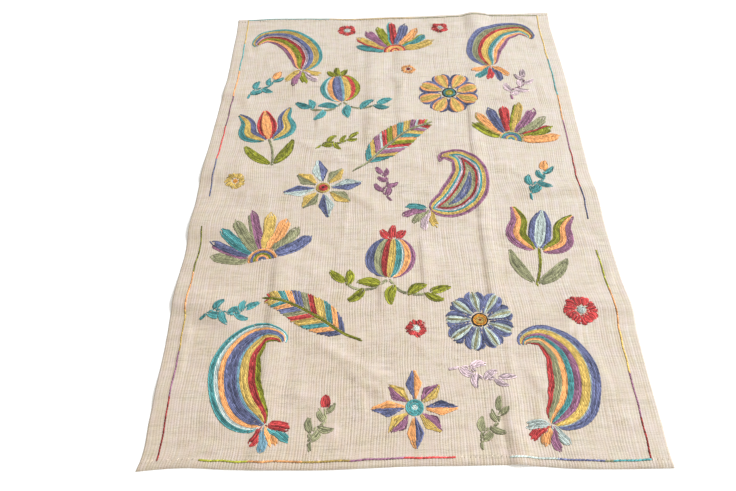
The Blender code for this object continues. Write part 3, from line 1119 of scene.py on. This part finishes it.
# How far a stitch turns at most round a bend, in radians, and the length that it keeps even so.
BEND_MOST = 1.2
BENT_STITCH = 0.0045
# How much a row's first stitch is cut short, and how much stitches differ in length, start, width and
# height, and strands from row to row.
FIRST_SPREAD = (0.1, 0.8)
LENGTH_SPREAD = (0.85, 1.15)
START_SPREAD = (-0.08, 0.08)
WIDTH_SPREAD = (0.93, 1.07)
HEIGHT_SPREAD = (0.88, 1.12)
HEIGHT_LIMITS = (0.7, 1.1)
STRAND_SPREAD = (0, 9)
# The shares of a stitch's tone that its row and the stitch itself draw.
ROW_TONE = 0.55
STITCH_TONE = 0.45
# Where across a row it covers what lies under it, in shares of its room.
COVER_LINES = (-0.4, -0.15, 0.15, 0.4)


def stitch_lines(rows, rng):
    """Places, directions, widths and travel at the stations of every stitch, its tone and its edge."""
    stitches = []
    for _, path, room, longest, shape in rows:
        way = headings(path)
        run = distances(path)
        bends = np.linalg.norm(np.diff(way, axis=0), axis=1).sum() / run[-1]
        length = min(longest * rng.uniform(*LENGTH_SPREAD), max(BENT_STITCH, BEND_MOST / max(bends, 1.0)))
        stride = length * (1 - STITCH_OVERLAP)
        starts = np.arange(-rng.uniform(*FIRST_SPREAD) * stride, run[-1] - PATH_STEP, stride)
        starts += rng.uniform(*START_SPREAD, len(starts)) * stride
        ends = np.clip(starts + length, 0, run[-1])
        starts = np.clip(starts, 0, run[-1])
        long_enough = ends - starts > SHORTEST_STITCH
        starts, ends = starts[long_enough], ends[long_enough]
        at = starts[:, None] + STATIONS * (ends - starts)[:, None]
        heading = read_along(at, run, way)
        stitches.append((
            read_along(at, run, path),
            heading / np.linalg.norm(heading, axis=-1)[..., None],
            np.interp(at, run, np.broadcast_to(room, run.shape)),
            at + rng.uniform(*STRAND_SPREAD),
            ROW_TONE * rng.random() + STITCH_TONE * rng.random(len(starts)),
            np.full(len(starts), 1.0 if shape else LINE_EDGE),
        ))
    return [np.concatenate(part) for part in zip(*stitches)]


def cover_cells(path):
    """The cells of a fine grid over the rug that points lie in."""
    cells = np.floor((path + (WIDTH / 2, LENGTH / 2)) / COVER_CELL).astype(int)
    cells = np.clip(cells, 0, (COVER_COLUMNS - 1, COVER_ROWS - 1))
    return cells[:, 0], cells[:, 1]


def uncovered_rows(rows):
    """The stretches of rows that no later shape lies over."""
    owner = np.full((COVER_COLUMNS, COVER_ROWS), -1)
    for _, path, room, _, shape in rows:
        aside = left_of(headings(path)) * np.broadcast_to(room, len(path))[:, None]
        for side in COVER_LINES:
            line = path + aside * side
            owner[cover_cells(line)] = shape
            owner[cover_cells((line[1:] + line[:-1]) / 2)] = shape
    kept = []
    for colour, path, room, longest, shape in rows:
        for start, end in runs_of(owner[cover_cells(path)] <= shape):
            if end - start > 2:
                kept.append((colour, path[start:end], room[start:end], longest, shape))
    return kept


def stitch_faces(count):
    """Faces of the stitches: quads between the rings, then triangles at the tips."""
    near = [(ring * 5 + i, ring * 5 + (i + 1) % 5) for ring in range(2) for i in range(5)]
    walls = [(first, second, second + 5, first + 5) for first, second in near]
    caps = [(15, (i + 1) % 5, i) for i in range(5)] + [(16, 10 + i, 10 + (i + 1) % 5) for i in range(5)]
    start = (np.arange(count) * STITCH_POINTS)[:, None, None]
    walls, caps = start + np.array(walls), start + np.array(caps)
    return walls.reshape(-1, 4).tolist() + caps.reshape(-1, 3).tolist()


def stitch_mesh(name, rows, rng):
    """A piece with every stitch of these rows, each slanting and dipping in at both ends."""
    spots, ways, widths, travel, chance, edge = stitch_lines(rows, rng)
    count = len(spots)
    share = widths / YARN_PITCH * rng.uniform(*WIDTH_SPREAD, count)[:, None]
    aside = left_of(ways)
    spots = spots + aside * (share * YARN_PITCH * STITCH_SLANT * (STATIONS - 0.5))[..., None]
    half = (YARN_WIDTH / 2 * share * SWELL)[:, RINGS]
    rise = YARN_HEIGHT * np.clip(share, *HEIGHT_LIMITS) * rng.uniform(*HEIGHT_SPREAD, count)[:, None]
    rise = (rise * CROWN)[:, RINGS]
    flat = spots[:, RINGS, None, :] + aside[:, RINGS, None, :] * (half[..., None] * np.cos(RING))[..., None]
    lift = rise[..., None] * (RING_MIDDLE + RING_REACH * np.sin(RING)) - STITCH_SINK
    places = np.concatenate([flat.reshape(count, -1, 2), spots[:, TIPS]], 1).reshape(-1, 2)
    lifts = np.concatenate([lift.reshape(count, -1), np.full((count, 2), TIP_DIP)], 1).ravel()
    x, y, z = ground.top(places[:, 0], places[:, 1])
    strand = np.empty((count, STITCH_POINTS, 3), np.float32)
    strand[..., 0] = np.concatenate([np.repeat(travel[:, RINGS], RING.size, axis=1), travel[:, TIPS]], 1)
    strand[..., 1] = np.concatenate([np.tile(AROUND, 3), [0, 0]]) * edge[:, None]
    strand[..., 2] = chance[:, None]
    faces = stitch_faces(count)
    return new_piece(name, np.stack([x, y, z + lifts], 1), faces, len(faces), "strand", strand)


def make_embroidery():
    """The stitches of every motif and of the border line, one piece for each colour of yarn."""
    rng = np.random.default_rng(STITCH_SEED)
    rows = []
    for number, (draw, where, *colours) in enumerate(FIELD):
        motif = Motif(*where)
        draw(motif, *colours)
        rows += [(*row, number * SHAPES_EACH + shape) for *row, shape in motif.rows]
    rows = border_rows() + uncovered_rows(rows)
    pieces = {}
    for colour in YARNS:
        pieces[colour] = stitch_mesh("yarn_" + colour, [row for row in rows if row[0] == colour], rng)
        pieces[colour].data.materials.append(yarn_material(colour, YARNS[colour]))
    return pieces


def hem_rows(rng):
    """Short slanting stitches that hold down the inner side of both hems."""
    rows = []
    for end in (-1, 1):
        for x in np.arange(-WIDTH / 2 + HEM_FIRST, WIDTH / 2 - HEM_LAST, HEM_STITCH_PITCH):
            x = x + rng.uniform(-HEM_DRIFT, HEM_DRIFT)
            onto, off = end * (HEM_LINE + HEM_ONTO), end * (HEM_LINE - HEM_OFF)
            ends = ((x - HEM_ASIDE, onto), (x + HEM_ASIDE, off))
            rows.append((None, even(np.array(ends)), HEM_ROOM, LINE_STITCH, 0))
    return rows


# Floor and light

FLOOR_SIZE = 160
FLOOR_COLOUR = (0.93, 0.93, 0.93)
FLOOR_GLOW = 0.16
FLOOR = {"Roughness": 0.9, "Emission Color": (1, 1, 1, 1), "Emission Strength": FLOOR_GLOW}
SUN_HEADING = 38.0
SUN_RISE = 36.0
SUN_STRENGTH = 2.85
SUN_SOFTNESS = 18.0
SUN_COLOUR = (0.96, 1.0, 1.08)
# Panels of light: name, place, size and power.
PANELS = (("side", (3.4, -0.2, 2.0), 1.6, 62.0), ("front", (-0.6, -4.0, 1.8), 2.4, 24.0))
SKY_STRENGTH = 0.48
SKY_COLOUR = (1.04, 1.0, 0.91, 1)


def make_floor():
    """A plain pale floor."""
    bpy.ops.mesh.primitive_plane_add(size=FLOOR_SIZE)
    floor = bpy.context.object
    floor.name = "floor"
    tree = Tree("pale_floor")
    shade = tree.remap(tree.noise(2), 0.3, 0.7, 0.99, 1)
    colour = tree.vector("SCALE", {0: FLOOR_COLOUR, 3: shade})
    floor.data.materials.append(tree.finish({"Base Color": colour, **FLOOR}))


def make_lamp(data, place, toward_light):
    """A lamp at a place that shines from a direction."""
    lamp = new_object(data.name, data)
    lamp.location = place
    lamp.rotation_euler = toward_light.to_track_quat("Z", "Y").to_euler()


def make_lights():
    """A soft low light from the far right, two large panels and an even fill."""
    sun = bpy.data.lights.new("key", "SUN")
    sun.energy, sun.color, sun.angle = SUN_STRENGTH, SUN_COLOUR, math.radians(SUN_SOFTNESS)
    heading, rise = math.radians(SUN_HEADING), math.radians(SUN_RISE)
    flat = math.cos(rise)
    make_lamp(sun, (0, 0, 3), Vector((math.cos(heading) * flat, math.sin(heading) * flat, math.sin(rise))))
    for name, place, size, power in PANELS:
        panel = bpy.data.lights.new(name, "AREA")
        panel.energy, panel.size = power, size
        make_lamp(panel, place, Vector(place))
    world = bpy.data.worlds.new("studio")
    world.use_nodes = True
    back = world.node_tree.nodes["Background"]
    back.inputs["Color"].default_value = SKY_COLOUR
    back.inputs["Strength"].default_value = SKY_STRENGTH
    bpy.context.scene.world = world


make_camera()
bpy.context.scene.view_settings.view_transform = "Standard"
make_floor()
make_lights()
cloth = make_cloth()
cloth.data.materials.append(cotton_material())
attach(cloth, "root")
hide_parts("rug_cloth")
yarns = make_embroidery()
for colour, piece in yarns.items():
    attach(piece, "root")
hem_rng = np.random.default_rng(HEM_SEED)
hem = stitch_mesh("hem_stitches", hem_rows(hem_rng), hem_rng)
hem.data.materials.append(yarn_material("natural", HEM_YARN))
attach(hem, "root")
